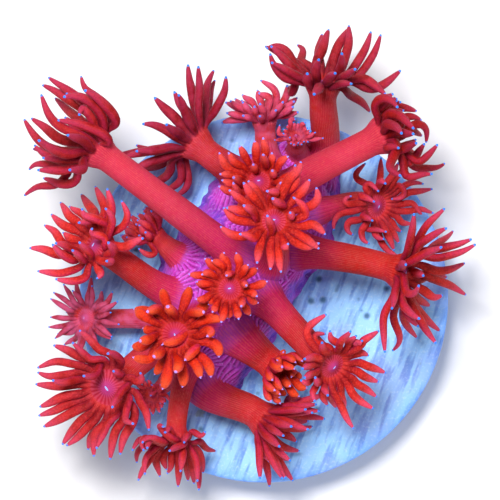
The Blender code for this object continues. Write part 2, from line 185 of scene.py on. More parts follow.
# Tentacles as the photograph shows them, in its pixels. Each tuple holds the x and y of one or
# more points along a tentacle, its tip last. up: the tentacle also comes towards the camera.
# down: it also falls away. level: it keeps to its own slant.
Seen = namedtuple("Seen", "up level down")
SEEN = {
    "01": Seen(
        up=[(86, 141, 67, 135), (116, 147, 104, 132, 80, 123, 57, 121), (86, 170, 69, 170),
            (70, 156, 50, 148, 38, 140), (103, 120, 95, 104, 80, 94, 63, 97),
            (119, 126, 111, 110, 97, 97, 84, 90)],
        level=[(65, 172, 50, 170, 37, 170), (79, 182, 62, 184, 43, 178), (55, 165, 33, 163, 29, 170),
               (62, 159, 42, 158), (43, 147, 32, 133, 24, 119), (58, 139, 44, 127, 31, 118),
               (60, 128, 47, 112, 41, 94), (88, 114, 82, 104, 79, 116)],
        down=[(60, 187, 38, 184, 24, 196), (50, 151, 33, 149), (70, 112, 55, 98), (72, 102, 56, 90, 42, 85),
              (75, 95, 57, 84, 48, 77), (113, 118, 98, 97, 83, 88, 81, 76)],
    ),
    "02": Seen(
        up=[(175, 132, 166, 124)],
        level=[(197, 110, 189, 85, 188, 64), (206, 110, 206, 85, 214, 70), (213, 115, 225, 92, 226, 76),
               (190, 115, 178, 102, 174, 91), (175, 117, 163, 107, 154, 97), (165, 128, 150, 124, 142, 124),
               (170, 152, 150, 151, 136, 145)],
        down=[(165, 163, 150, 168, 137, 170), (209, 104, 210, 92, 215, 80), (170, 175, 145, 188),
              (185, 180, 160, 194), (190, 187, 173, 198), (198, 136, 194, 130)],
    ),
    "03": Seen(
        up=[(262, 115, 260, 103)],
        level=[(250, 115, 238, 108, 225, 102), (253, 113, 247, 106, 241, 100),
               (248, 118, 238, 115, 226, 113), (280, 112, 287, 106, 295, 101), (282, 117, 299, 112)],
        down=[(245, 121, 233, 119, 221, 123), (272, 98, 258, 93), (275, 88, 260, 80), (286, 98, 288, 85),
              (273, 105, 270, 94)],
    ),
    "04": Seen(
        up=[(314, 75, 319, 59), (312, 88, 307, 73), (337, 80, 341, 66, 342, 53)],
        level=[(294, 66, 287, 49, 275, 44, 266, 49), (284, 80, 273, 66, 270, 53),
               (318, 66, 323, 45, 329, 29), (340, 75, 346, 50, 349, 25), (352, 72, 366, 50, 371, 31),
               (356, 78, 374, 55, 381, 34), (354, 80, 364, 77, 374, 84, 386, 95)],
        down=[(299, 62, 305, 48, 297, 45), (318, 55, 322, 34), (333, 62, 338, 45, 342, 37),
              (372, 92, 388, 82, 401, 70), (350, 96, 362, 101, 370, 112), (292, 96, 288, 86)],
    ),
    "05": Seen(
        up=[(371, 106, 380, 96, 392, 99, 398, 108), (388, 112, 402, 117, 414, 129),
            (386, 122, 396, 126, 402, 134), (385, 148, 399, 148), (392, 153, 406, 146, 417, 143),
            (388, 170, 401, 176), (404, 133, 414, 134)],
        level=[(395, 105, 408, 110, 417, 111), (405, 115, 415, 118, 422, 121),
               (418, 118, 428, 128, 426, 143), (404, 165, 416, 155, 425, 143),
               (417, 163, 430, 154, 438, 144), (415, 170, 432, 168, 440, 168, 445, 163),
               (405, 180, 420, 174, 433, 174)],
        down=[(410, 128, 422, 136), (408, 150, 420, 158)],
    ),
    "06": Seen(
        up=[(365, 182, 372, 184, 379, 192), (358, 196, 366, 198, 375, 202), (381, 180, 386, 184),
            (361, 215, 373, 221)],
        level=[(345, 205, 343, 198, 352, 196), (397, 183, 406, 190, 401, 199, 391, 199),
               (353, 177, 360, 168, 366, 163), (363, 222, 372, 229, 387, 232),
               (346, 221, 347, 233, 354, 235), (360, 232, 363, 241, 370, 244),
               (374, 232, 378, 239, 385, 239), (387, 215, 394, 227, 402, 232),
               (395, 213, 401, 223, 413, 224), (400, 203, 413, 205, 423, 214)],
        down=[(379, 240, 387, 250, 399, 257), (400, 207, 418, 210, 434, 213),
              (405, 185, 415, 182, 424, 184), (405, 191, 420, 191, 433, 189),
              (340, 212, 333, 222, 334, 231)],
    ),
    "07": Seen(
        up=[(420, 243, 436, 233, 447, 228), (424, 254, 442, 247), (412, 271, 424, 276),
            (405, 293, 415, 295, 419, 285), (401, 303, 411, 315, 420, 319)],
        level=[(414, 245, 428, 224, 445, 208), (430, 252, 452, 246, 472, 239),
               (436, 259, 460, 254, 476, 244), (430, 273, 450, 270, 465, 263),
               (424, 291, 433, 299, 443, 295), (408, 318, 419, 327), (383, 315, 383, 335, 385, 353)],
        down=[(438, 243, 448, 237, 453, 231), (440, 249, 455, 245, 463, 241), (430, 275, 447, 277),
              (436, 279, 450, 285, 466, 295), (418, 299, 430, 306), (414, 305, 425, 319, 440, 331),
              (400, 315, 409, 328, 417, 338), (391, 316, 401, 335, 401, 345, 392, 351)],
    ),
    "08": Seen(
        up=[(324, 388, 328, 396), (317, 383, 315, 377), (312, 372, 304, 378), (314, 358, 304, 359),
            (308, 366, 302, 369), (323, 352, 322, 342), (341, 341, 351, 331)],
        level=[(356, 363, 372, 367, 386, 373), (354, 373, 368, 378, 379, 382),
               (352, 382, 367, 390, 377, 397), (350, 391, 362, 403, 374, 409),
               (337, 391, 344, 401, 345, 409), (321, 394, 328, 406), (312, 392, 315, 402),
               (308, 384, 300, 380), (330, 340, 330, 330), (348, 344, 357, 335), (352, 349, 363, 340),
               (350, 357, 361, 352, 369, 356)],
        down=[(340, 404, 346, 418, 354, 429), (330, 397, 336, 408), (337, 336, 345, 330),
              (312, 345, 303, 329, 327, 314), (315, 345, 312, 333, 326, 334)],
    ),
    "09": Seen(
        up=[(275, 376, 275, 387), (284, 381, 291, 387), (285, 367, 294, 370, 291, 378),
            (274, 367, 278, 361)],
        level=[(281, 386, 287, 396), (281, 360, 284, 351), (284, 357, 280, 359), (292, 392, 300, 397),
               (290, 362, 297, 366)],
        down=[(298, 388, 308, 388), (294, 375, 303, 378)],
    ),
    "10": Seen(
        up=[(272, 430, 284, 436)],
        level=[(285, 408, 303, 410, 320, 411), (283, 416, 301, 416), (290, 428, 303, 429, 313, 426),
               (286, 433, 297, 442), (272, 440, 286, 449, 300, 451), (258, 444, 264, 454, 270, 462)],
        down=[(288, 397, 300, 399, 307, 403), (293, 422, 309, 421), (270, 446, 279, 457, 290, 460)],
    ),
    "11": Seen(
        up=[(143, 436, 141, 444, 144, 451), (146, 438, 142, 443), (150, 437, 147, 449),
            (186, 435, 184, 443), (184, 437, 177, 447, 169, 451), (158, 424, 164, 427),
            (170, 430, 164, 432)],
        level=[(190, 429, 197, 434, 201, 438, 206, 431), (190, 450, 192, 468, 194, 484),
               (176, 456, 179, 472, 178, 487), (170, 455, 171, 466, 167, 474),
               (156, 456, 158, 468, 160, 477), (163, 455, 167, 470), (147, 455, 144, 466, 145, 475),
               (140, 446, 136, 456, 137, 463), (141, 437, 135, 445, 132, 451)],
        down=[(200, 440, 207, 450, 216, 451), (198, 449, 203, 460, 203, 473), (187, 465, 188, 481),
              (148, 460, 145, 469)],
    ),
    "12": Seen(
        up=[(76, 379, 62, 384, 52, 380), (108, 420, 103, 436, 96, 449), (127, 408, 124, 421, 134, 424),
            (122, 390, 115, 401, 112, 408), (120, 374, 113, 371), (120, 358, 112, 352, 107, 354),
            (102, 355, 93, 342, 79, 330), (92, 362, 82, 352, 72, 342), (98, 372, 91, 377, 83, 376)],
        level=[(72, 363, 55, 361, 37, 368), (70, 374, 50, 378, 37, 372), (70, 400, 54, 411, 38, 416),
               (74, 409, 57, 421, 43, 427), (84, 415, 72, 432, 62, 445), (96, 430, 93, 445, 94, 457),
               (115, 425, 112, 445, 110, 460), (127, 426, 122, 442, 120, 455),
               (136, 398, 146, 409, 149, 431), (78, 357, 65, 349, 53, 345), (133, 383, 143, 380, 140, 372)],
        down=[(68, 388, 50, 386, 35, 384), (68, 396, 52, 403, 39, 407), (88, 425, 78, 438, 66, 446),
              (90, 436, 88, 450)],
    ),
    "13": Seen(
        up=[(157, 308, 150, 311, 146, 312), (156, 335, 148, 340, 139, 341), (163, 350, 158, 355, 153, 357),
            (178, 358, 179, 366, 175, 373), (200, 345, 192, 353, 184, 361),
            (200, 325, 185, 338, 172, 342, 161, 346), (195, 312, 205, 312), (176, 316, 172, 311, 167, 306)],
        level=[(152, 314, 142, 311, 133, 309), (148, 330, 142, 328), (150, 343, 140, 347, 131, 346),
               (152, 360, 142, 360, 132, 357), (163, 360, 160, 368, 154, 375),
               (168, 365, 167, 380, 162, 390), (192, 358, 198, 368, 201, 379),
               (200, 356, 210, 366, 211, 378), (208, 341, 219, 347, 219, 358),
               (208, 328, 214, 332, 206, 337), (205, 320, 215, 317, 223, 321)],
        down=[(183, 368, 184, 380, 182, 388)],
    ),
    "14": Seen(
        up=[(213, 277, 207, 272, 201, 275), (243, 300, 241, 307), (230, 273, 226, 276),
            (242, 282, 247, 286)],
        level=[(205, 277, 188, 274), (208, 287, 195, 282), (222, 268, 213, 265, 204, 258),
               (224, 267, 211, 260), (224, 263, 221, 256, 225, 252), (240, 265, 236, 252),
               (243, 270, 249, 264), (246, 276, 258, 268), (252, 287, 262, 284, 268, 281),
               (250, 291, 258, 297), (247, 293, 253, 302, 259, 303), (243, 303, 248, 312, 251, 316),
               (236, 307, 239, 320), (230, 307, 227, 319), (221, 305, 223, 317), (218, 302, 212, 313),
               (212, 293, 203, 300, 195, 299), (213, 300, 208, 305)],
        down=[],
    ),
    "15": Seen(
        up=[(272, 232, 270, 222, 267, 215), (256, 220, 254, 212, 243, 205), (254, 240, 248, 235, 239, 234),
            (308, 215, 302, 207, 293, 198), (292, 188, 298, 175, 295, 164), (285, 206, 278, 203, 272, 198),
            (277, 192, 266, 191), (292, 218, 290, 212)],
        level=[(248, 222, 233, 219, 223, 207), (246, 238, 232, 236, 220, 226),
               (262, 240, 258, 253, 257, 264), (278, 242, 279, 258, 281, 273),
               (281, 240, 283, 250, 289, 243), (292, 240, 306, 247, 320, 243),
               (298, 225, 312, 222, 320, 229, 326, 235), (308, 208, 320, 200, 316, 187),
               (298, 195, 305, 188, 310, 179)],
        down=[(299, 170, 301, 161)],
    ),
    "16": Seen(
        up=[(266, 166, 263, 154), (256, 172, 253, 164), (258, 182, 256, 176), (238, 182, 233, 177),
            (240, 195, 233, 182), (248, 202, 250, 192), (275, 178, 272, 170), (280, 190, 281, 182)],
        level=[(226, 168, 219, 152), (238, 168, 228, 152), (247, 160, 239, 145),
               (256, 158, 258, 150, 254, 140), (265, 152, 263, 137), (272, 168, 272, 152),
               (275, 167, 282, 160, 289, 156), (234, 176, 219, 174), (230, 192, 218, 186),
               (235, 184, 221, 180)],
        down=[],
    ),
    "17": Seen(
        up=[(75, 262, 60, 252, 52, 244), (78, 253, 66, 246, 55, 243), (90, 263, 80, 257, 72, 250),
            (95, 258, 87, 250, 79, 242), (104, 222, 92, 219, 78, 223),
            (110, 235, 95, 236, 88, 232, 93, 228), (113, 222, 110, 213, 105, 208), (115, 252, 108, 242),
            (114, 262, 106, 261), (84, 218, 82, 208)],
        level=[(60, 256, 45, 249, 29, 248), (72, 243, 57, 232, 44, 225), (80, 241, 70, 238, 62, 233),
               (80, 238, 63, 225, 51, 214), (76, 223, 66, 210, 60, 202), (85, 220, 76, 212, 69, 206),
               (113, 212, 110, 200, 107, 188), (124, 228, 129, 215, 121, 200),
               (124, 248, 136, 241, 144, 238), (102, 275, 96, 279), (88, 278, 72, 282, 55, 279),
               (80, 268, 58, 274, 37, 271)],
        down=[(95, 213, 87, 203, 81, 194), (107, 210, 100, 196, 95, 186)],
    ),
    "18": Seen(
        up=[(152, 238, 145, 232)],
        level=[(160, 235, 150, 228, 135, 224), (150, 231, 140, 227), (150, 240, 138, 235)],
        down=[(158, 230, 150, 222), (158, 254, 148, 256, 138, 248)],
    ),
    "19": Seen(
        up=[(82, 318, 76, 314)],
        level=[(75, 308, 65, 300, 53, 292), (70, 325, 58, 327, 48, 327), (72, 331, 57, 334),
               (84, 305, 78, 297, 72, 290), (106, 305, 113, 291), (92, 298, 92, 285)],
        down=[(101, 300, 102, 290), (75, 315, 66, 312), (76, 338, 64, 345), (95, 335, 90, 346)],
    ),
    "20": Seen(
        up=[(162, 388, 160, 384)],
        level=[(157, 391, 150, 396), (162, 398, 160, 404), (156, 388, 150, 384)],
        down=[(166, 396, 170, 402), (152, 390, 146, 390)],
    ),
    "21": Seen(
        up=[(289, 141, 290, 137)],
        level=[(278, 135, 280, 124), (288, 132, 296, 118), (300, 130, 306, 122), (290, 143, 299, 143),
               (305, 138, 316, 132)],
        down=[(310, 140, 324, 138), (280, 140, 274, 140)],
    ),
}


# Lines and frames in space

def unit(vector):
    return vector / np.linalg.norm(vector)


def seen_at(pixel, height):
    """The point at this height that the camera sees at a pixel of the photograph."""
    scale = (CAMERA[2] - height) / (CAMERA[2] - DISC_HEIGHT) / PIXELS_PER_MM
    middle = FRAME_PIXELS / 2
    x = CAMERA[0] + (pixel[0] - middle) * scale
    y = CAMERA[1] - (pixel[1] - middle) * scale
    return np.array((x, y, height))


def bezier(ends, count):
    """Evenly numbered points of the cubic curve with these four control points."""
    t = np.linspace(0.0, 1.0, count)[:, None]
    s = 1.0 - t
    a, b, c, d = ends
    return a * s**3 + 3 * b * s * s * t + 3 * c * s * t * t + d * t**3


def distances(line):
    """How far along the line each of its points lies."""
    steps = np.linalg.norm(np.diff(line, axis=0), axis=1)
    return np.concatenate(([0.0], np.cumsum(steps)))


def along_line(line, at):
    """The points of a line that lie at the given distances along it."""
    known = distances(line)
    return np.stack([np.interp(at, known, line[:, i]) for i in range(3)], axis=1)


def tangents(line):
    ahead = np.gradient(line, axis=0)
    return ahead / np.linalg.norm(ahead, axis=1)[:, None]


def carried_sides(line, side):
    """The side vector carried along a line from its first point, turning only as the line turns."""
    sides = []
    for ahead in tangents(line):
        side = unit(side - ahead * side.dot(ahead))
        sides.append(side)
    return np.array(sides)


def smooth(value):
    value = np.clip(value, 0.0, 1.0)
    return value * value * (3.0 - 2.0 * value)


# The mound's shape

def mound_frame():
    """The mound's long axis, its short axis, up, and its half sizes along them."""
    heading = math.radians(MOUND_HEADING)
    axes = np.array((
        (math.cos(heading), math.sin(heading), 0.0),
        (-math.sin(heading), math.cos(heading), 0.0),
        (0.0, 0.0, 1.0),
    ))
    return axes, np.array((MOUND_LENGTH / 2, MOUND_WIDTH / 2, MOUND_HEIGHT))


def on_mound(x, y):
    """The point of the mound's surface over (x, y), and the way the surface faces there."""
    axes, half = mound_frame()
    offset = np.array((x - MOUND_CENTRE[0], y - MOUND_CENTRE[1], 0.0))
    share = axes @ offset / half
    lift = math.sqrt(max(0.0, 1.0 - share[0] ** 2 - share[1] ** 2))
    facing = unit(axes.T @ (np.array((share[0], share[1], lift)) / half))
    return np.array((x, y, DISC_HEIGHT + MOUND_HEIGHT * lift)), facing


# A polyp's column and crown, as lines and frames

class Crown:
    """Where a polyp's crown stands: its axis, its side vectors and its rim."""

    def __init__(self, polyp):
        heading = math.radians(polyp.heading)
        rise = math.radians(polyp.rise)
        flat = math.cos(rise)
        axis = Vector((flat * math.cos(heading), flat * math.sin(heading), math.sin(rise)))
        turned = np.array(axis.to_track_quat("Z", "Y").to_matrix())
        self.axis = np.array(axis)
        self.side = turned[:, 0]
        self.other = turned[:, 1]
        self.neck = np.array(polyp.neck)
        self.depth = NECK_GAP + CALYX_DEPTH + (polyp.rim - polyp.neck_r) * CALYX_SLOPE
        self.rim = self.neck + self.axis * self.depth

    def out(self, angle):
        """The way out from the axis at an angle, in radians, round the rim."""
        return self.side * math.cos(angle) + self.other * math.sin(angle)

    def round(self, angle):
        """The way along the rim there."""
        return self.other * math.cos(angle) - self.side * math.sin(angle)


def column_line(polyp, crown):
    """The column's middle line, from its socket's floor up to the neck."""
    surface, facing = on_mound(*polyp.root)
    reach = np.linalg.norm(crown.neck - surface)
    floor = surface - facing * SOCKET_DEPTH
    leaves = surface + facing * reach * STALK_LEAVES
    arrives = crown.neck - crown.axis * reach * STALK_ARRIVES
    return bezier((floor, leaves, arrives, crown.neck), LINE_POINTS)


# Tentacles as middle lines

Arm = namedtuple("Arm", "sector line widths tint")


def natural_way(polyp, crown, sector):
    """The way a tentacle would point if nothing bent it."""
    angle = sector_angle(sector)
    spread = math.radians(polyp.spread + cycle(sector))
    return crown.out(angle) * math.sin(spread) + crown.axis * math.cos(spread)


def sector_angle(sector):
    return 2.0 * math.pi * (sector + 0.5) / SECTORS


def cycle(sector):
    """Tentacles stand in two cycles by turns, one more upright and one more spread."""
    return CYCLES[sector % 2]


def arm_base(polyp, crown, sector):
    return crown.rim + crown.out(sector_angle(sector)) * (polyp.rim - RIM_WALL / 2)


def lowest_at(point):
    """How low a tentacle may lie over the disc, and beside it."""
    over = math.hypot(point[0], point[1]) < DISC_RADIUS + DISC_MARGIN
    return DISC_HEIGHT + OVER_DISC if over else OVER_GROUND


def pinned_points(base, pixels, length, slope_limit, rising):
    """The points that a tentacle passes on its way from its base, each on its pixel's sight line.

    Where its length is more than the picture shows, it rises or falls by the rest.
    """
    flat = [seen_at(pixel, base[2]) for pixel in pixels]
    steps = [np.linalg.norm(b - a) for a, b in zip([base] + flat, flat)]
    stretch = max(length / max(sum(steps), 0.1), 1.0)
    slope = min(math.sqrt(stretch**2 - 1.0), slope_limit) * rising
    height = base[2]
    points = []
    for pixel, point, step in zip(pixels, flat, steps):
        height = max(height + slope * step, lowest_at(point))
        points.append(seen_at(pixel, height))
    return points


def pairs_of(numbers):
    return list(zip(numbers[0::2], numbers[1::2]))


def all_seen(seen):
    """Each tentacle that is seen: its pixels, its steepest slope and whether it rises."""
    kinds = ((seen.up, UP_SLOPE, 1.0), (seen.level, LEVEL_SLOPE, 0.0), (seen.down, DOWN_SLOPE, -1.0))
    return [(pairs_of(path), slope, rising) for paths, slope, rising in kinds for path in paths]


def fit_of(polyp, crown, sector, arm):
    """How ill a seen tentacle suits a sector, and the points it would pass from there."""
    pixels, slope_limit, rising = arm
    base = arm_base(polyp, crown, sector)
    way = natural_way(polyp, crown, sector)
    rising = rising or math.copysign(1.0, way[2])
    points = pinned_points(base, pixels, polyp.arm, slope_limit, rising)
    reach = np.linalg.norm(points[0] - base)
    miss = np.linalg.norm(base + way * reach - points[0])
    return (miss + REACH_COST * reach) / polyp.arm, points


def cost_of(fits, number, sector):
    """A sector's misfit squared, so that no tentacle crosses the whole crown. None leaves it free."""
    return 0.0 if number is None else fits[number, sector][0] ** 2


def chosen_paths(polyp, crown, seen):
    """The points that a seen tentacle passes, for each sector that is given one.

    Each tentacle takes the best free sector, and then two sectors swap wherever that costs less.
    """
    fits = {}
    for number, arm in enumerate(all_seen(seen)):
        for sector in range(SECTORS):
            fits[number, sector] = fit_of(polyp, crown, sector, arm)
    chosen = {}
    for _, number, sector in sorted((fits[key][0], *key) for key in fits):
        if number not in chosen.values() and sector not in chosen:
            chosen[sector] = number
    for _ in range(SWAP_ROUNDS):
        for a in range(SECTORS):
            for b in range(SECTORS):
                here, there = chosen.get(a), chosen.get(b)
                kept = cost_of(fits, here, a) + cost_of(fits, there, b)
                if cost_of(fits, there, a) + cost_of(fits, here, b) < kept - TINY:
                    chosen[a], chosen[b] = there, here
    return {
        sector: fits[number, sector][1]
        for sector, number in chosen.items()
        if number is not None and cost_of(fits, number, sector) < WORST_COST
    }


def rounded(line, rounds):
    """The line with its corners eased away and its ends kept."""
    for _ in range(rounds):
        line[1:-1] = 0.25 * line[:-2] + 0.5 * line[1:-1] + 0.25 * line[2:]
    return line


def led_curve(polyp, crown, sector, points):
    """A tentacle's curve through the points that it is seen to pass."""
    base = arm_base(polyp, crown, sector)
    start = unit(natural_way(polyp, crown, sector) + START_LEAN * crown.axis)
    leave = base + start * START_SHARE * np.linalg.norm(points[0] - base)
    corners = np.array([base, leave, *points])
    even = np.linspace(0.0, distances(corners)[-1], CURVE_POINTS)
    return rounded(along_line(corners, even), EASINGS)


def free_curve(polyp, crown, sector, rng):
    """A tentacle's curve where no tip is seen: it spreads and curls as its polyp's do."""
    angle = sector_angle(sector) + rng.uniform(-0.1, 0.1)
    spread = math.radians(polyp.spread + cycle(sector) + rng.uniform(-8.0, 8.0))
    curl = math.radians(polyp.curl + rng.uniform(-14.0, 14.0))
    length = polyp.arm * UNSEEN_SHARE.get(polyp.name, USUAL_SHARE) * rng.uniform(0.9, 1.1)
    out, sway = crown.out(angle), crown.round(angle) * rng.uniform(-0.25, 0.25)
    steps = FREE_POINTS - 1
    point = arm_base(polyp, crown, sector)
    curve = [point]
    for i in range(1, FREE_POINTS):
        share = i / steps
        turn = spread * (0.6 + 0.4 * smooth(share / 0.3)) + curl * share
        way = out * math.sin(turn) + crown.axis * math.cos(turn) + sway * share
        point = point + unit(way) * length / steps
        curve.append(point)
    return np.array(curve)


def wavy(curve, rng):
    """The curve with the slight waver of a soft tentacle."""
    share = np.linspace(0.0, 1.0, len(curve))
    ahead = unit(curve[-1] - curve[0])
    across = unit(np.cross(ahead, rng.normal(size=3)))
    waves = rng.uniform(1.0, 1.6)
    phase = rng.uniform(0.0, 2.0 * math.pi)
    swing = 0.014 * distances(curve)[-1] * np.sin(math.pi * share)
    return curve + (swing * np.sin(2.0 * math.pi * waves * share + phase))[:, None] * across


def arm_widths(polyp, at, length, rng):
    """The tentacle's half width at distances along it, no wider than its sector has room for."""
    body = length - BEAD_LENGTH
    share = np.clip(at / body, 0.0, 1.0)
    slim = np.interp(share, BODY_AT, SLIM_BODY)
    blunt = np.interp(share, BODY_AT, BLUNT_BODY)
    widths = polyp.thick * rng.uniform(0.9, 1.08) * (slim + (blunt - slim) * polyp.blunt)
    spread = math.sin(math.radians(min(polyp.spread, 90.0)))
    room = (polyp.rim + at * spread) * math.pi / SECTORS * CROWDING
    widths = np.minimum(widths, room)
    bead = (BEAD_SCALE - BLUNT_BEAD_LOSS * polyp.blunt) * min(1.0, polyp.thick / USUAL_THICK)
    widths[-len(BEAD_RADII):] = np.array(BEAD_RADII) * bead
    return widths


def make_arms(polyp, crown, rng):
    paths = chosen_paths(polyp, crown, SEEN[polyp.name])
    arms = []
    for sector in range(SECTORS):
        curve = free_curve(polyp, crown, sector, rng)
        if sector in paths:
            curve = led_curve(polyp, crown, sector, paths[sector])
        curve = wavy(curve, rng)
        length = distances(curve)[-1]
        body = [(length - BEAD_LENGTH) * share for share in BODY_STEPS]
        at = np.array([0.0, *body, *(length - back for back in BEAD_BACK)])
        widths = arm_widths(polyp, at, length, rng)
        tint = (0.55 if sector % 2 else 0.0) + 0.45 * rng.uniform()
        arms.append(Arm(sector, along_line(curve, at), widths, tint))
    return arms


# Keeping tentacles clear of each other, of columns, of the mound and of the disc

# How many rounds the tentacles are moved for, how often their neighbours are looked up, how near
# a neighbour is, and how near skins come as a share of their radii.
SETTLE_ROUNDS = 24
LOOK_EVERY = 6
NEAR = 1.9
TOUCHING = 0.98
# A tentacle stays in place for the first of these lengths and comes loose over the second.
ROOTED = 0.5
COMES_LOOSE = 1.2
# How far round the disc its top still counts, and the least gap over it and over the ground.
DISC_REACH = 0.6
REST_GAP = 0.1


def near_pairs(points, owners):
    """Pairs of points that are near each other and belong to different tentacles."""
    tree = kdtree.KDTree(len(points))
    for i, point in enumerate(points):
        tree.insert(point, i)
    tree.balance()
    pairs = []
    for i, point in enumerate(points):
        for _, j, _ in tree.find_range(point, NEAR):
            if j > i and owners[i] != owners[j]:
                pairs.append((i, j))
    return np.array(pairs)


def moves_apart(points, radii, loose, pairs):
    """How far each point has to move to stand clear of its neighbours, as far as it is loose."""
    a, b = pairs[:, 0], pairs[:, 1]
    gap = points[a] - points[b]
    apart = np.maximum(np.linalg.norm(gap, axis=1), TINY)
    overlap = np.maximum((radii[a] + radii[b]) * TOUCHING - apart, 0.0)
    share = loose[a] + loose[b]
    push = gap / apart[:, None] * (0.5 * overlap / np.maximum(share, TINY))[:, None]
    moves = np.zeros_like(points)
    np.add.at(moves, a, push * loose[a][:, None])
    np.add.at(moves, b, -push * loose[b][:, None])
    return moves


def out_of_mound(points, margin):
    """The points with those inside the mound brought out through its surface."""
    axes, half = mound_frame()
    middle = np.array((*MOUND_CENTRE, DISC_HEIGHT))
    offset = points - middle
    share = np.linalg.norm(offset @ axes.T / (half + margin[:, None]), axis=1)
    inside = (share < 1.0) & (points[:, 2] > DISC_HEIGHT)
    grown = offset / np.maximum(share, 0.3)[:, None]
    return np.where(inside[:, None], middle + grown, points)


def above_disc(points, radii):
    """The points with those too low brought up onto the disc or the ground."""
    over = np.hypot(points[:, 0], points[:, 1]) < DISC_RADIUS + DISC_REACH
    lowest = np.where(over, DISC_HEIGHT, 0.0) + radii + REST_GAP
    points[:, 2] = np.maximum(points[:, 2], lowest)
    return points


def settle(arms, columns):
    """Moves the tentacles apart where they would run through each other or through a column."""
    steps = len(arms[0].line)
    moving = len(arms) * steps
    points = np.concatenate([arm.line for arm in arms] + [line for line, _ in columns])
    radii = np.concatenate([arm.widths for arm in arms] + [widths for _, widths in columns])
    fixed = len(points) - moving
    owners = np.concatenate((np.repeat(np.arange(len(arms)), steps), np.full(fixed, -1)))
    far = [smooth((distances(arm.line) - ROOTED) / COMES_LOOSE) for arm in arms]
    loose = np.concatenate(far + [np.zeros(fixed)])
    for turn in range(SETTLE_ROUNDS):
        if turn % LOOK_EVERY == 0:
            pairs = near_pairs(points, owners)
        moves = moves_apart(points, radii, loose, pairs)
        step = moves[:moving].reshape(len(arms), steps, 3)
        eased = step.copy()
        eased[:, 1:-1] = 0.25 * step[:, :-2] + 0.5 * step[:, 1:-1] + 0.25 * step[:, 2:]
        points[:moving] += eased.reshape(-1, 3)
        points[:moving] = out_of_mound(points[:moving], radii[:moving])
        points[:moving] = above_disc(points[:moving], radii[:moving])
    for arm, line in zip(arms, points[:moving].reshape(len(arms), steps, 3)):
        arm.line[:] = line


# Skins: the points and faces of a piece

def make_piece(name, points, faces, marks, material):
    """A smooth piece of points in millimetres, with marks on them that its material reads."""
    mesh = bpy.data.meshes.new(name)
    mesh.from_pydata((np.array(points) * MM).tolist(), [], faces)
    for mark, values in marks.items():
        mesh.attributes.new(mark, "FLOAT", "POINT").data.foreach_set("value", np.array(values, np.float32))
    mesh.shade_smooth()
    mesh.materials.append(material)
    piece = bpy.data.objects.new(name, mesh)
    bpy.context.scene.collection.objects.link(piece)
    return piece


class Skin:
    """The points and faces of a polyp while it is being made, with marks for its material.

    reach: how far along its tentacle a point lies. height: how far up the column. mouth: how
    near the slit. tint and edge: the tentacle's own tint, and 1 along its sides, where a painted
    pink rim sheen lies. The rest tell what kind of polyp it is, and one of them how much painted
    shade darkens its tentacles.
    """

    MARKS = ("reach", "height", "mouth", "tint", "edge", "tone", "blunt", "pale", "depth_shade")

    def __init__(self, polyp):
        self.points = []
        self.marks = {mark: [] for mark in self.MARKS}
        self.faces = []
        self.corners = []
        pale = 1.0 if polyp.name in PALE_COLUMNS else 0.0
        # How much painted shade darkens this polyp's tentacles.
        depth_shade = DEPTH_SHADE_AMOUNT.get(polyp.name, 0.0)
        self.kind = {"tone": polyp.tone, "blunt": polyp.blunt, "pale": pale, "depth_shade": depth_shade}

    def add(self, points, edge=None, **marks):
        """Adds a ring of points and returns their numbers."""
        first = len(self.points)
        self.points.extend(points)
        given = {"reach": 0.0, "height": 1.0, "mouth": 0.0, "tint": 0.5, **self.kind, **marks}
        for mark, value in given.items():
            self.marks[mark].extend([value] * len(points))
        self.marks["edge"].extend(edge or [0.0] * len(points))
        return list(range(first, len(self.points)))

    def bridge(self, lower, upper, low, high, turns):
        """Joins two rings by a band of faces. low and high are their places on the fibre map."""
        count = len(lower)
        for i in range(count):
            j = (i + 1) % count
            self.faces.append((lower[i], lower[j], upper[j], upper[i]))
            left, right = turns * i / count, turns * (i + 1) / count
            self.corners.extend(((left, low), (right, low), (right, high), (left, high)))

    def cap(self, ring, at):
        self.faces.append(tuple(ring))
        self.corners.extend([(0.0, at)] * len(ring))

    def grow(self, before, low, rings, turns=1.0, closed=True):
        """Adds rings in a row, each joined to the one before, and returns the last.

        A ring is given as its points, its place on the fibre map and its marks.
        """
        for points, high, marks in rings:
            ring = self.add(points, **marks)
            self.bridge(before, ring, low, high, turns)
            before, low = ring, high
        if closed:
            self.cap(before, low)
        return before

    def build(self, name, material):
        piece = make_piece(name, self.points, self.faces, self.marks, material)
        fibres = piece.data.uv_layers.new(name="fibres")
        fibres.data.foreach_set("uv", np.array(self.corners, np.float32).ravel())
        return piece


# The skin of a polyp

# One unit of the fibre map is this many millimetres along a column or a tentacle.
FIBRE_UNIT = 10.0
# The mouth disc's rings as shares of its radius, how far it sinks inside the rim, and how high
# its ridges stand. The slit's rings: half their length and width in the same shares, how far they
# stand from the cone's shoulder, and their mouth mark.
MOUTH_RINGS = (0.9, 0.78, 0.65, 0.52, 0.4, 0.3)
MOUTH_SINK = 0.05
MOUTH_RIDGE = 0.045
EDGE_RIDGE = 0.05
MOUTH_SHOULDER = 0.62
SLIT_RINGS = ((0.17, 0.08, -0.02, 0.85), (0.13, 0.035, -0.01, 1.0), (0.10, 0.01, -0.12, 1.0))
# A tentacle's ring has six corners, from this one on its outer side, and these edge marks,
# which lay a painted pink rim sheen along its sides.
FIRST_CORNER = 210.0
CORNER_RIM_SHEEN = [1.0, 0.0, 1.0, 0.55, 0.0, 0.55]
# The reach mark of a tentacle's skin stops here. Only its bead has more.
BODY_REACH = 0.94


def angles_round(count):
    return [2.0 * math.pi * i / count for i in range(count)]


def ring_points(centre, side, other, radius, rib, notch=0.0):
    """A ring of points. The odd ones stand out, one on each rib, and the even ones are notched."""
    points = []
    for i, angle in enumerate(angles_round(AROUND)):
        way = side * math.cos(angle) + other * math.sin(angle)
        reach = radius * (1.0 + rib if i % 2 else 1.0 - rib)
        points.append(centre + way * reach - (0.0 if i % 2 else notch))
    return points


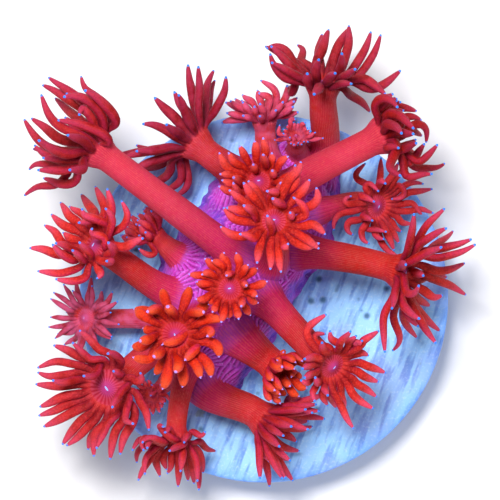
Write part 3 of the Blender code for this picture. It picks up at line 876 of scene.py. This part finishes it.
def column_rings(polyp, crown):
    """Centres, side vectors, radii and distances from the mound of a column's rings."""
    line = column_line(polyp, crown)
    length = distances(line)[-1]
    count = max(9, int(length / RING_STEP))
    at = np.linspace(0.0, length, count)
    centres = along_line(line, at)
    sides = carried_sides(centres[::-1], crown.side)[::-1]
    above = at - SOCKET_DEPTH
    radii = polyp.root_r + (polyp.neck_r - polyp.root_r) * at / length
    radii = radii + SKIRT * np.exp(-np.maximum(above, 0.0) / SKIRT_HEIGHT)
    return centres, sides, radii, above


def column_outline(polyp, crown):
    """The rings of the column and then of the calyx, as a skin takes them."""
    centres, sides, radii, above = column_rings(polyp, crown)
    length = above[-1]
    rings = []
    for centre, side, radius, up, way in zip(centres, sides, radii, above, tangents(centres)):
        wobble = 1.0 + 0.025 * noise.noise(Vector(centre * 0.7))
        rib = RIB + ROOT_RIB * math.exp(-max(up, 0.0) / ROOT_RIB_HEIGHT)
        points = ring_points(centre, side, np.cross(way, side), radius * wobble, rib)
        rings.append((points, up / FIBRE_UNIT, {"height": max(0.0, min(up / length, 1.0))}))
    for i in range(1, CALYX_RINGS + 1):
        share = i / CALYX_RINGS
        centre = crown.neck + crown.axis * crown.depth * share
        radius = polyp.neck_r + (polyp.rim - polyp.neck_r) * float(smooth(share))
        notch = crown.axis * (RIM_NOTCH if share == 1.0 else 0.0)
        points = ring_points(centre, crown.side, crown.other, radius, RIB + 0.02 * share, notch)
        rings.append((points, (length + crown.depth * share) / FIBRE_UNIT, {}))
    return rings


def skin_column(skin, polyp, crown):
    """The column and the calyx. Returns the rim's ring."""
    (points, place, marks), *rings = column_outline(polyp, crown)
    floor = skin.add(points, **marks)
    skin.cap(floor[::-1], place)
    return skin.grow(floor, place, rings, closed=False)


def mouth_ring(crown, long, wide, lift, groove):
    """A ring of the mouth disc, raised where a tentacle's ridge runs in and sunk between."""
    points = []
    for i, angle in enumerate(angles_round(AROUND)):
        way = crown.side * math.cos(angle) * long + crown.other * math.sin(angle) * wide
        points.append(crown.rim + way + crown.axis * (lift + (groove if i % 2 else -groove)))
    return points


def mouth_outline(crown, outer):
    """The rings of the mouth disc, from its edge in to the bottom of the slit."""
    rings = []
    for share in MOUTH_RINGS:
        lift = MOUTH_CONE * (1.0 - share) ** 1.4 - MOUTH_SINK * math.sin(math.pi * share) - MOUTH_SINK
        radius = outer * share
        points = mouth_ring(crown, radius, radius, lift, MOUTH_RIDGE * math.sqrt(share))
        rings.append((points, share / FIBRE_UNIT, {"mouth": 1.0 - share}))
    for long, wide, drop, mark in SLIT_RINGS:
        points = mouth_ring(crown, long * outer, wide * outer, MOUTH_CONE * MOUTH_SHOULDER + drop, 0.0)
        rings.append((points, MOUTH_RINGS[-1] / FIBRE_UNIT, {"mouth": mark}))
    return rings


def skin_mouth(skin, polyp, crown):
    """The mouth disc, from its ring between the tentacles to the slit. Returns that ring."""
    outer = polyp.rim - RIM_WALL
    edge = skin.add(mouth_ring(crown, outer, outer, -MOUTH_SINK, EDGE_RIDGE))
    skin.grow(edge, 1.0 / FIBRE_UNIT, mouth_outline(crown, outer))
    return edge


def arm_outline(arm, crown):
    """A tentacle's six-sided rings, from beside its root to the end of its bead."""
    sides = carried_sides(arm.line, crown.round(sector_angle(arm.sector)))
    ways = tangents(arm.line)
    span = distances(arm.line)
    body = len(arm.line) - len(BEAD_BACK)
    rings = []
    for i in range(1, len(arm.line)):
        inner = np.cross(ways[i], sides[i])
        radius = arm.widths[i] / HEXAGON_SHRINK
        flat = FLATNESS if i < body else 1.0
        points = []
        for corner in range(6):
            angle = math.radians(FIRST_CORNER + 60.0 * corner)
            way = sides[i] * math.cos(angle) + inner * math.sin(angle) * flat
            points.append(arm.line[i] + way * radius)
        reach = min(span[i] / span[-1], BODY_REACH) if i < body else 1.0
        # The edge mark lays a painted pink rim sheen on the side corners of each ring.
        marks = {"edge": CORNER_RIM_SHEEN, "reach": reach, "tint": arm.tint}
        rings.append((points, span[i] / FIBRE_UNIT, marks))
    return rings


def skin_arm(skin, arm, crown, rim, edge):
    """One tentacle, grown from its sector's six points on the rim and the mouth disc's edge."""
    k = 2 * arm.sector
    after = (k + 2) % AROUND
    root = [rim[k], rim[k + 1], rim[after], edge[after], edge[k + 1], edge[k]]
    skin.grow(root, 0.0, arm_outline(arm, crown), turns=0.25)


def make_polyps(material):
    rng = np.random.default_rng(SEED)
    crowns = [Crown(polyp) for polyp in POLYPS]
    grown = [make_arms(polyp, crown, rng) for polyp, crown in zip(POLYPS, crowns)]
    columns = []
    for polyp, crown in zip(POLYPS, crowns):
        centres, _, radii, _ = column_rings(polyp, crown)
        columns.append((centres[:-2], radii[:-2]))
    settle([arm for arms in grown for arm in arms], columns)
    for polyp, crown, arms in zip(POLYPS, crowns, grown):
        skin = Skin(polyp)
        rim = skin_column(skin, polyp, crown)
        edge = skin_mouth(skin, polyp, crown)
        for arm in arms:
            skin_arm(skin, arm, crown, rim, edge)
        piece = skin.build("polyp_" + polyp.name, material)
        finer = piece.modifiers.new("finer", "SUBSURF")
        finer.levels = finer.render_levels = 1
        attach(piece, "root")
        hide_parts("stalk_" + polyp.name, "crown_" + polyp.name)


# The mound of tissue

MOUND_AROUND = 600
MOUND_RINGS = 130
# The foot's flare: how far it spreads and how high it begins.
FOOT_FLARE = 0.6
FLARE_HEIGHT = 0.45
# How far the tissue rises round each column, and over what length it falls away.
ROOT_RISE = 0.6
ROOT_FALL = 0.9
# The pleats round each column's root: how many, how deep, where they are deepest outside the
# column, how wide their band is and how much they waver.
PLEATS = 32
PLEAT_DEPTH = 0.13
PLEAT_START = 0.8
PLEAT_BAND = 1.6
PLEAT_WAVER = 2.2
# Heights of the lumps, of the small lumps and of the wall's upright folds, and how high the
# folded wall is.
LUMP_HEIGHT = 0.35
LUMPLET_HEIGHT = 0.10
WALL_FOLD = 0.35
WALL_HEIGHT = 3.5


def root_frames():
    """For each column: its place on the mound, facing, side vectors and radius."""
    roots = []
    for polyp in POLYPS:
        crown = Crown(polyp)
        centres, sides, _, _ = column_rings(polyp, crown)
        surface, facing = on_mound(*polyp.root)
        side = unit(sides[0] - facing * sides[0].dot(facing))
        roots.append((surface, facing, side, np.cross(facing, side), polyp.root_r))
    return roots


def mound_points():
    """The points of the plain mound, ring by ring and its top last, and the way each faces."""
    axes, half = mound_frame()
    theta = np.linspace(0.0, 2.0 * math.pi, MOUND_AROUND, endpoint=False)
    phi = np.linspace(0.0, math.pi / 2, MOUND_RINGS + 1)[1:]
    theta, phi = np.meshgrid(theta, phi)
    lobes = 0.02 * np.cos(9 * theta + 4.0)
    for heading, width, depth in MOUND_LOBES:
        away = np.degrees(np.angle(np.exp(1j * (theta - math.radians(heading)))))
        lobes = lobes + depth * np.exp(-((away / width) ** 2))
    spread = 1.0 + lobes * np.sin(phi) ** 3
    share = np.stack((
        np.sin(phi) * np.cos(theta) * spread,
        np.sin(phi) * np.sin(theta) * spread,
        np.cos(phi),
    ), axis=-1)
    top = np.array((0.0, 0.0, 1.0))
    share = np.concatenate((share.reshape(-1, 3), top[None, :]))
    points = np.array((*MOUND_CENTRE, DISC_HEIGHT)) + (share * half) @ axes
    facing = (share / half) @ axes
    return points, facing / np.linalg.norm(facing, axis=1)[:, None]


def noise_at(points, waves):
    """Noise at each point, with this many waves a millimetre along each axis."""
    return np.array([noise.noise(Vector(point * waves)) for point in points])


def mound_relief(points):
    """How far each point stands out, the height of its fold, and how near a root it is."""
    rise = np.zeros(len(points))
    pleats = np.zeros(len(points))
    near = np.zeros(len(points))
    waver = noise_at(points, 0.8)
    for surface, up, side, other, radius in root_frames():
        offset = points - surface
        flat = offset - np.outer(offset @ up, up)
        away = np.linalg.norm(flat, axis=1) + 0.5 * np.abs(offset @ up)
        angle = np.arctan2(flat @ other, flat @ side)
        rise = np.maximum(rise, ROOT_RISE * np.exp(-np.maximum(away - radius - 0.3, 0.0) / ROOT_FALL))
        weight = np.exp(-(((away - radius - PLEAT_START) / PLEAT_BAND) ** 2))
        pleats = np.where(weight > near, np.cos(PLEATS * angle + PLEAT_WAVER * waver), pleats)
        near = np.maximum(near, weight)
    upright = noise_at(points, np.array((1.3, 1.3, 0.3)))
    wall = np.exp(-(((points[:, 2] - DISC_HEIGHT) / WALL_HEIGHT) ** 2)) * (1.0 - near)
    relief = rise + LUMP_HEIGHT * noise_at(points, 0.55) + LUMPLET_HEIGHT * noise_at(points, 1.9)
    relief = relief + PLEAT_DEPTH * pleats * near + WALL_FOLD * upright * wall
    return relief, pleats * near + 1.2 * upright * wall, near


def flared(moved, points, facing):
    """The mound's points with its foot drawn out over the disc in uneven lobes."""
    flare = FOOT_FLARE * np.exp(-(points[:, 2] - DISC_HEIGHT) / FLARE_HEIGHT)
    lobes = np.array([0.6 + noise.noise(Vector((x * 0.9, y * 0.9, 4.0))) for x, y, _ in points])
    moved[:, :2] += facing[:, :2] * (flare * np.clip(lobes, 0.0, 1.3))[:, None]
    moved[:, 2] = np.maximum(moved[:, 2], DISC_HEIGHT - 0.05)
    return moved


def mound_faces():
    """Bands between the mound's rings, a fan at its top and one face under its foot."""
    faces = []
    for first in range(0, (MOUND_RINGS - 1) * MOUND_AROUND, MOUND_AROUND):
        for i in range(MOUND_AROUND):
            a, b = first + i, first + (i + 1) % MOUND_AROUND
            faces.append((a, a + MOUND_AROUND, b + MOUND_AROUND, b))
    top = MOUND_RINGS * MOUND_AROUND
    faces += [(top, i, (i + 1) % MOUND_AROUND) for i in range(MOUND_AROUND)]
    faces.append(tuple(range(top - 1, top - MOUND_AROUND - 1, -1)))
    return faces


def make_mound(material):
    points, facing = mound_points()
    relief, folds, near = mound_relief(points)
    low = smooth((points[:, 2] - DISC_HEIGHT) / 1.0)
    moved = points + facing * (relief * (0.45 + 0.55 * low))[:, None]
    marks = {"fold": folds, "near": near}
    mound = make_piece("colony_tissue", flared(moved, points, facing), mound_faces(), marks, material)
    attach(mound, "root")
    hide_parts("colony_base")


# The disc

# The disc's top is a square grid of this many cells a side, bent to the round.
DISC_CELLS = 190
EDGE_ROUND = 0.45
EDGE_STEPS = 4
# How wide the band of painted shade round the top's rim is.
RIM_SHADE_WIDTH = 1.6
WALL_HEIGHTS = (3.8, 2.9, 2.0, 1.1)
STREAK_LEAN = 21.0
STREAK_HEIGHT = 0.05
GRAIN_HEIGHT = 0.02
WALL_ROUGHNESS = 0.03
PITS = 46
# Pits that the photograph shows, in its pixels, with their radius and depth.
SEEN_PITS = ((323, 300), (311, 301), (319, 279), (367, 316))
SEEN_PIT_SIZE = (0.33, 0.22)


def disc_relief(x, y, pits):
    """How far the disc's top stands above or below its height at (x, y), its streak and its pit."""
    lean = math.radians(STREAK_LEAN)
    along = x * math.sin(lean) + y * math.cos(lean)
    across = x * math.cos(lean) - y * math.sin(lean)
    streak = noise.noise(Vector((across * 1.5, along * 0.22, 3.0)))
    grain = noise.noise(Vector((across * 4.0, along * 1.2, 9.0)))
    dip = 0.0
    for px, py, radius, depth in pits:
        away = ((x - px) ** 2 + (y - py) ** 2) / radius**2
        if away < 6.0:
            dip += depth * math.exp(-away)
    return STREAK_HEIGHT * streak + GRAIN_HEIGHT * grain - dip, streak, dip


def disc_pits(rng):
    """Places, radii and depths of the pits: those scattered by chance, then those seen."""
    pits = []
    for _ in range(PITS):
        angle = rng.uniform(0.0, 2.0 * math.pi)
        reach = (DISC_RADIUS - 1.2) * math.sqrt(rng.uniform())
        size = (rng.uniform(0.15, 0.34), rng.uniform(0.06, 0.2))
        pits.append((reach * math.cos(angle), reach * math.sin(angle), *size))
    for pixel in SEEN_PITS:
        x, y, _ = seen_at(pixel, DISC_HEIGHT)
        pits.append((x, y, *SEEN_PIT_SIZE))
    return pits


def disc_top(pits):
    """The points of the disc's flat top, each with its streak and its pit."""
    flat = DISC_RADIUS - EDGE_ROUND
    steps = [2.0 * i / DISC_CELLS - 1.0 for i in range(DISC_CELLS + 1)]
    points = []
    for v in steps:
        for u in steps:
            x = flat * u * math.sqrt(1.0 - v * v / 2.0)
            y = flat * v * math.sqrt(1.0 - u * u / 2.0)
            relief, streak, dip = disc_relief(x, y, pits)
            calm = float(smooth((flat - math.hypot(x, y)) / 0.8))
            points.append((x, y, DISC_HEIGHT + (relief - 0.03) * calm, streak, dip))
    return points


def disc_profile():
    """Radii and heights of the rings round the disc, from its top edge to its underside."""
    flat = DISC_RADIUS - EDGE_ROUND
    turns = [math.radians(90.0 * step / EDGE_STEPS) for step in range(EDGE_STEPS + 1)]
    profile = [
        (flat + EDGE_ROUND * math.sin(turn), DISC_HEIGHT - EDGE_ROUND * (1.0 - math.cos(turn)))
        for turn in turns[1:]
    ]
    profile += [(DISC_RADIUS, height) for height in WALL_HEIGHTS]
    profile += [
        (flat + EDGE_ROUND * math.cos(turn), EDGE_ROUND * (1.0 - math.sin(turn))) for turn in turns
    ]
    return profile


def wall_point(x, y, radius, height):
    """The point of a ring of the disc's wall that lies out from (x, y), slightly rough."""
    scale = radius / math.hypot(x, y)
    rough = WALL_ROUGHNESS * noise.noise(Vector((x * scale * 1.3, y * scale * 1.3, height * 1.3)))
    edge = 1.0 + (rough - 0.02) / DISC_RADIUS if 0.4 < height < 4.6 else 1.0
    return x * scale * edge, y * scale * edge, height, 0.0, 0.0


def disc_border(side):
    """The numbers of the top's points along its border, anticlockwise from above."""
    border = list(range(side))
    border += [j * side + side - 1 for j in range(1, side)]
    border += [(side - 1) * side + i for i in range(side - 2, -1, -1)]
    border += [j * side for j in range(side - 2, 0, -1)]
    return border


def make_disc(material):
    rng = np.random.default_rng(SEED + 1)
    points = disc_top(disc_pits(rng))
    side = DISC_CELLS + 1
    faces = []
    for j in range(DISC_CELLS):
        for a in range(j * side, j * side + DISC_CELLS):
            faces.append((a, a + 1, a + 1 + side, a + side))
    border = disc_border(side)
    before = border
    for radius, height in disc_profile():
        ring = list(range(len(points), len(points) + len(border)))
        points += [wall_point(*points[number][:2], radius, height) for number in border]
        for i in range(len(border)):
            j = (i + 1) % len(border)
            faces.append((before[i], ring[i], ring[j], before[j]))
        before = ring
    faces.append(tuple(reversed(before)))
    columns = np.array(points)
    marks = {"streak": columns[:, 3], "pit": columns[:, 4]}
    disc = make_piece("disc_tile", columns[:, :3], faces, marks, material)
    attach(disc, "root")
    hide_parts("frag_disc")


# Materials

def colour(red, green, blue):
    """A colour given as it looks on a screen, from 0 to 255, as Blender's linear values."""
    linear = []
    for value in (red, green, blue):
        value = value / 255.0
        linear.append(value / 12.92 if value <= 0.04045 else ((value + 0.055) / 1.055) ** 2.4)
    return (*linear, 1.0)


class Paint:
    """A node material under construction."""

    def __init__(self, name):
        self.material = bpy.data.materials.new(name)
        self.material.use_nodes = True
        self.tree = self.material.node_tree
        self.shader = self.tree.nodes["Principled BSDF"]

    def feed(self, socket, value):
        if isinstance(value, bpy.types.NodeSocket):
            self.tree.links.new(value, socket)
        else:
            socket.default_value = value

    def node(self, kind, inputs=None, **settings):
        made = self.tree.nodes.new(kind)
        for name, value in settings.items():
            setattr(made, name, value)
        for name, value in (inputs or {}).items():
            self.feed(made.inputs[name], value)
        return made

    def mark(self, name):
        return self.node("ShaderNodeAttribute", attribute_name=name).outputs["Fac"]

    def math(self, operation, *values):
        return self.node("ShaderNodeMath", dict(enumerate(values)), operation=operation).outputs[0]

    def scaled(self, value, factor, start=0.0):
        return self.math("MULTIPLY_ADD", value, factor, start)

    def band(self, value, low, high):
        """0 below low, 1 above high, and smooth between."""
        return self.node(
            "ShaderNodeMapRange",
            {"Value": value, "From Min": low, "From Max": high},
            interpolation_type="SMOOTHSTEP",
        ).outputs["Result"]

    def mix(self, factor, first, second, blend="MIX"):
        made = self.node("ShaderNodeMix", data_type="RGBA", blend_type=blend)
        self.feed(made.inputs["Factor"], factor)
        self.feed(made.inputs["A"], first)
        self.feed(made.inputs["B"], second)
        return made.outputs["Result"]

    def lay(self, base, top, mask, low, high, share=1.0):
        """The base with a colour laid over it as the mask goes from low to high."""
        return self.mix(self.scaled(self.band(mask, low, high), share), base, top)

    def place(self):
        return self.node("ShaderNodeTexCoord").outputs["Object"]

    def noise(self, place, per_mm, detail=3.0, rough=0.5):
        settings = {"Vector": place, "Scale": per_mm / MM, "Detail": detail, "Roughness": rough}
        return self.node("ShaderNodeTexNoise", settings).outputs["Fac"]

    def bump(self, height, strength, millimetres, below=None):
        settings = {"Height": height, "Strength": strength, "Distance": millimetres * MM}
        if below is not None:
            settings["Normal"] = below
        return self.node("ShaderNodeBump", settings).outputs["Normal"]

    def finish(self, base, roughness, normal, **fixed):
        self.feed(self.shader.inputs["Base Color"], base)
        self.feed(self.shader.inputs["Roughness"], roughness)
        self.feed(self.shader.inputs["Normal"], normal)
        for name, value in fixed.items():
            self.shader.inputs[name.replace("_", " ")].default_value = value
        return self.material


# Polyps: columns, then tentacles, mouths and beads.
COLUMN_RED = colour(170, 12, 10)
COLUMN_PINK = colour(196, 44, 92)
COLUMN_LINE = colour(232, 100, 88)
MAGENTA = colour(184, 10, 92)
LILAC = colour(166, 70, 186)
SCARLET = colour(196, 30, 8)
DEEP_RED = colour(112, 4, 8)
PLUM = colour(130, 8, 16)
ROSE = colour(180, 20, 28)
BLUSH = colour(222, 68, 62)
FLAME = colour(224, 64, 24)
EMBER = colour(240, 112, 72)
# Painted pink rim sheen along the tentacles' sides.
RIM_SHEEN_PINK = colour(190, 36, 96)
TIP_PINK = colour(212, 76, 128)
TINGE = colour(200, 92, 140)
# Painted shade that darkens the tentacles of some polyps.
DEPTH_SHADE_DIM = (0.56, 0.25, 0.33, 1.0)
MOUTH_RED = colour(170, 20, 42)
MOUTH_PINK = colour(216, 82, 108)
MOUTH_BLUE = colour(176, 194, 255)
BEAD_BLUE = colour(58, 138, 255)
BEAD_LILAC = colour(190, 150, 250)
SHEEN_PINK = colour(240, 110, 190)

# The mound.
VIOLET = colour(112, 56, 196)
PURPLE = colour(158, 56, 190)
ROOT_PINK = colour(196, 36, 160)
# Painted highlight on the ridges of the mound's pleats and folds.
PLEAT_HIGHLIGHT = colour(198, 84, 208)
SHADE = colour(88, 14, 96)
FRECKLE = colour(206, 150, 250)
SHEEN_LILAC = colour(200, 150, 255)

# The disc.
SKY = colour(148, 200, 252)
SLATE = colour(84, 126, 206)
BLOTCH = colour(120, 158, 226)
# Painted shade towards the disc's rim.
RIM_SHADE_BLUE = colour(104, 158, 255)
# Lilac of the painted shadow on the disc.
SHADOW_LILAC = colour(150, 142, 214)
FROST = colour(226, 244, 255)
STAIN = colour(112, 124, 96)
TEAL = colour(34, 78, 112)


def lines_round(paint, count):
    """Fine lines that run along a column or a tentacle, this many round it."""
    fibres = paint.node("ShaderNodeUVMap", uv_map="fibres").outputs["UV"]
    around = paint.node("ShaderNodeSeparateXYZ", {0: fibres}).outputs["X"]
    wave = paint.math("SINE", paint.math("MULTIPLY", around, 2.0 * math.pi * count))
    return paint.scaled(wave, 0.5, 0.5)


def column_colour(paint, lines, broken, cloud, grain):
    """Red with fine pale lines, turning magenta and violet towards the root."""
    height = paint.mark("height")
    red = paint.mix(paint.scaled(broken, 0.35), COLUMN_RED, DEEP_RED)
    red = paint.lay(red, SCARLET, height, 0.5, 0.95, 0.35)
    rosy = paint.scaled(paint.mark("pale"), 0.45, paint.scaled(cloud, 0.12))
    red = paint.mix(rosy, red, COLUMN_PINK)
    red = paint.lay(red, MAGENTA, height, 0.62, 0.05, 0.9)
    red = paint.lay(red, LILAC, height, 0.16, 0.0, 0.8)
    red = paint.mix(paint.math("MULTIPLY", lines, paint.scaled(broken, 0.24, 0.09)), red, COLUMN_LINE)
    return paint.lay(red, COLUMN_LINE, grain, 0.54, 0.72, 0.3)


def arm_colour(paint, mottle, grain):
    """Scarlet tentacles with rosy ends and a painted pink rim sheen along their sides, darkened by
    painted shade on some polyps. Blunt ones have flame-coloured ends.
    """
    reach, edge, blunt = paint.mark("reach"), paint.mark("edge"), paint.mark("blunt")
    arm = paint.mix(paint.scaled(paint.band(mottle, 0.3, 0.6), 0.6, 0.4), DEEP_RED, SCARLET)
    arm = paint.lay(arm, ROSE, paint.mark("tint"), 0.35, 1.0, 0.45)
    arm = paint.lay(arm, PLUM, reach, 0.5, 0.08, 0.7)
    end = paint.mix(blunt, BLUSH, FLAME)
    arm = paint.lay(arm, end, reach, 0.35, 0.95, 0.68)
    # Painted pink rim sheen where the edge mark is high, along the tentacles' sides.
    arm = paint.lay(arm, RIM_SHEEN_PINK, edge, 0.35, 0.95, 0.5)
    arm = paint.lay(arm, TIP_PINK, reach, 0.55, 0.95, paint.scaled(blunt, -0.6, 0.6))
    arm = paint.lay(arm, EMBER, reach, 0.6, 0.94, paint.scaled(blunt, 0.3))
    arm = paint.lay(arm, DEEP_RED, grain, 0.49, 0.38, 0.32)
    arm = paint.lay(arm, end, grain, 0.51, 0.62, 0.4)
    # Painted shade: darkens all of a polyp's tentacles as far as its mark says.
    return paint.mix(paint.mark("depth_shade"), arm, DEPTH_SHADE_DIM, blend="MULTIPLY")


def mouth_colour(paint, ridges):
    """A dark rose disc with pale lines that run from the tentacles to a lilac middle."""
    mouth = paint.mark("mouth")
    pink = paint.scaled(paint.mark("blunt"), -0.25, 0.5)
    disc = paint.mix(paint.math("MULTIPLY", ridges, pink), MOUTH_RED, MOUTH_PINK)
    disc = paint.lay(disc, LILAC, mouth, 0.3, 0.9, 0.35)
    return paint.lay(disc, MOUTH_BLUE, mouth, 0.9, 1.0)


def polyp_material():
    """One tissue for a whole polyp, whose marks tell its column, tentacles, mouth and beads."""
    paint = Paint("polyp_tissue")
    place = paint.place()
    reach, mouth, tone = paint.mark("reach"), paint.mark("mouth"), paint.mark("tone")
    mottle = paint.noise(place, 1.3)
    grain = paint.noise(place, 6.5, detail=5.0, rough=0.6)
    lines = lines_round(paint, AROUND)
    broken = paint.band(paint.noise(place, 3.0, detail=4.0), 0.3, 0.65)
    cloud = paint.band(paint.noise(place, 0.35), 0.42, 0.62)
    body = column_colour(paint, lines, broken, cloud, grain)
    body = paint.lay(body, arm_colour(paint, mottle, grain), reach, 0.0, 0.10)
    body = paint.lay(body, mouth_colour(paint, lines_round(paint, SECTORS)), mouth, 0.0, 0.05)
    lilac = paint.scaled(paint.math("MULTIPLY", tone, tone), 0.7)
    body = paint.lay(body, TINGE, mottle, 0.2, 0.75, lilac)
    bead = paint.mix(paint.mark("blunt"), BEAD_BLUE, BEAD_LILAC)
    body = paint.lay(body, bead, reach, 0.95, 0.99)
    normal = paint.bump(lines, 0.35, 0.035)
    normal = paint.bump(grain, 0.8, 0.10, normal)
    return paint.finish(
        body, paint.scaled(grain, 0.3, 0.40), normal,
        Subsurface_Weight=0.18, Subsurface_Radius=(1.0, 0.2, 0.2), Subsurface_Scale=0.4 * MM,
        Sheen_Weight=0.05, Sheen_Roughness=0.25, Sheen_Tint=SHEEN_PINK,
        Specular_IOR_Level=0.13,
    )


def mound_material():
    """Violet tissue, pinker round the columns, with freckles, painted highlights on the ridges of
    its pleats and folds, and painted shade in the furrows between them.
    """
    paint = Paint("mound_tissue")
    place = paint.place()
    fold = paint.mark("fold")
    grain = paint.noise(place, 5.0, detail=4.0)
    skin = paint.lay(VIOLET, PURPLE, paint.noise(place, 0.4), 0.38, 0.62)
    skin = paint.lay(skin, ROOT_PINK, paint.mark("near"), 0.2, 0.95, 0.8)
    # Painted highlight on the ridges of the pleats and wall folds.
    skin = paint.lay(skin, PLEAT_HIGHLIGHT, fold, -0.1, 0.7, 0.75)
    # Painted shade in the furrows between the pleats and wall folds.
    skin = paint.lay(skin, SHADE, fold, -0.1, -0.8, 0.6)
    skin = paint.lay(skin, FRECKLE, grain, 0.5, 0.75, 0.5)
    return paint.finish(
        skin, paint.scaled(grain, 0.3, 0.4), paint.bump(grain, 0.5, 0.08),
        Subsurface_Weight=0.15, Subsurface_Radius=(1.0, 0.3, 0.8), Subsurface_Scale=0.4 * MM,
        Sheen_Weight=0.15, Sheen_Roughness=0.3, Sheen_Tint=SHEEN_LILAC,
        Specular_IOR_Level=0.3,
    )


def leaning_place(paint, place):
    """The place on the disc, turned as its streaks lean and drawn out along them."""
    turn = (0.0, 0.0, math.radians(STREAK_LEAN))
    turned = paint.node("ShaderNodeMapping", {"Vector": place, "Rotation": turn}).outputs["Vector"]
    stretch = (1.0, 0.17, 0.3)
    return paint.node("ShaderNodeMapping", {"Vector": turned, "Scale": stretch}).outputs["Vector"]


def reach_out(paint, place):
    """How far a place on the disc lies from its middle, seen from above."""
    flat = paint.node("ShaderNodeVectorMath", {0: place, 1: (1.0, 1.0, 0.0)}, operation="MULTIPLY")
    return paint.node("ShaderNodeVectorMath", {0: flat.outputs[0]}, operation="LENGTH").outputs["Value"]


def disc_material():
    """Pale blue with fine leaning streaks, darker blotches and pits, painted shade that turns the
    top darker blue towards its rim, and lilac patches of painted shadow.
    """
    paint = Paint("disc_ceramic")
    place = paint.place()
    leaning = leaning_place(paint, place)
    fine = paint.noise(leaning, 1.9, detail=2.0)
    grain = paint.noise(place, 4.0, detail=5.0)
    tile = paint.lay(SKY, SLATE, fine, 0.46, 0.66, 0.8)
    tile = paint.lay(tile, BLOTCH, paint.noise(leaning, 1.1), 0.52, 0.7, 0.6)
    # Painted shade: the top turns a darker blue towards its rim, where the light falls off.
    rim_shade_starts = (DISC_RADIUS - RIM_SHADE_WIDTH) * MM
    tile = paint.lay(tile, RIM_SHADE_BLUE, reach_out(paint, place), rim_shade_starts, DISC_RADIUS * MM, 0.6)
    tile = paint.lay(tile, SLATE, paint.mark("streak"), 0.25, 0.6, 0.3)
    # Painted shadow: broad lilac patches that stand in for the colony's shadow on the disc.
    tile = paint.lay(tile, SHADOW_LILAC, paint.noise(place, 0.13), 0.52, 0.66, 0.25)
    tile = paint.lay(tile, FROST, grain, 0.5, 0.72, 0.2)
    tile = paint.lay(tile, STAIN, paint.noise(place, 0.55), 0.68, 0.76, 0.6)
    tile = paint.lay(tile, TEAL, paint.mark("pit"), 0.03, 0.2, 0.85)
    normal = paint.bump(fine, 0.3, 0.08)
    normal = paint.bump(grain, 0.4, 0.08, normal)
    return paint.finish(tile, paint.scaled(grain, 0.2, 0.55), normal, Specular_IOR_Level=0.3)


# The stage: floor, light and camera

def make_floor():
    bpy.ops.mesh.primitive_plane_add(size=4.0)
    floor = bpy.context.object
    floor.name = "floor"
    paint = Paint("floor")
    grain = paint.noise(paint.place(), 0.05)
    pale = paint.mix(grain, colour(222, 222, 224), colour(230, 230, 232))
    floor.data.materials.append(paint.finish(pale, 0.8, paint.bump(grain, 0.02, 0.1)))


def make_light(name, place, size, watts, tint):
    light = bpy.data.lights.new(name, "AREA")
    light.shape = "DISK"
    light.size = size * MM
    light.energy = watts
    light.color = tint
    lamp = bpy.data.objects.new(name, light)
    bpy.context.scene.collection.objects.link(lamp)
    lamp.location = Vector(place) * MM
    aim = Vector((0.0, 0.0, 10.0)) - Vector(place)
    lamp.rotation_euler = aim.to_track_quat("-Z", "Y").to_euler()


def make_lights():
    make_light("key", (-40.0, 70.0, 260.0), 80.0, 0.95, (1.0, 0.985, 0.97))
    make_light("fill", (170.0, -60.0, 150.0), 150.0, 0.16, (0.93, 0.95, 1.0))
    make_light("back", (-60.0, -190.0, 80.0), 120.0, 0.10, (0.85, 0.9, 1.0))
    world = bpy.data.worlds.new("studio")
    world.use_nodes = True
    background = world.node_tree.nodes["Background"]
    background.inputs["Color"].default_value = (0.88, 0.9, 0.95, 1.0)
    background.inputs["Strength"].default_value = 0.25
    bpy.context.scene.world = world


def make_camera():
    camera = bpy.data.cameras.new("camera")
    camera.sensor_width = SENSOR
    half_width = FRAME_PIXELS / 2 / PIXELS_PER_MM
    camera.lens = SENSOR / 2 * (CAMERA[2] - DISC_HEIGHT) / half_width
    camera.clip_start = 0.01
    camera.clip_end = 10.0
    eye = bpy.data.objects.new("camera", camera)
    eye.location = Vector(CAMERA) * MM
    bpy.context.scene.collection.objects.link(eye)
    bpy.context.scene.camera = eye


make_camera()
make_polyps(polyp_material())
make_mound(mound_material())
make_disc(disc_material())
make_floor()
make_lights()
bpy.context.scene.view_settings.view_transform = "Standard"
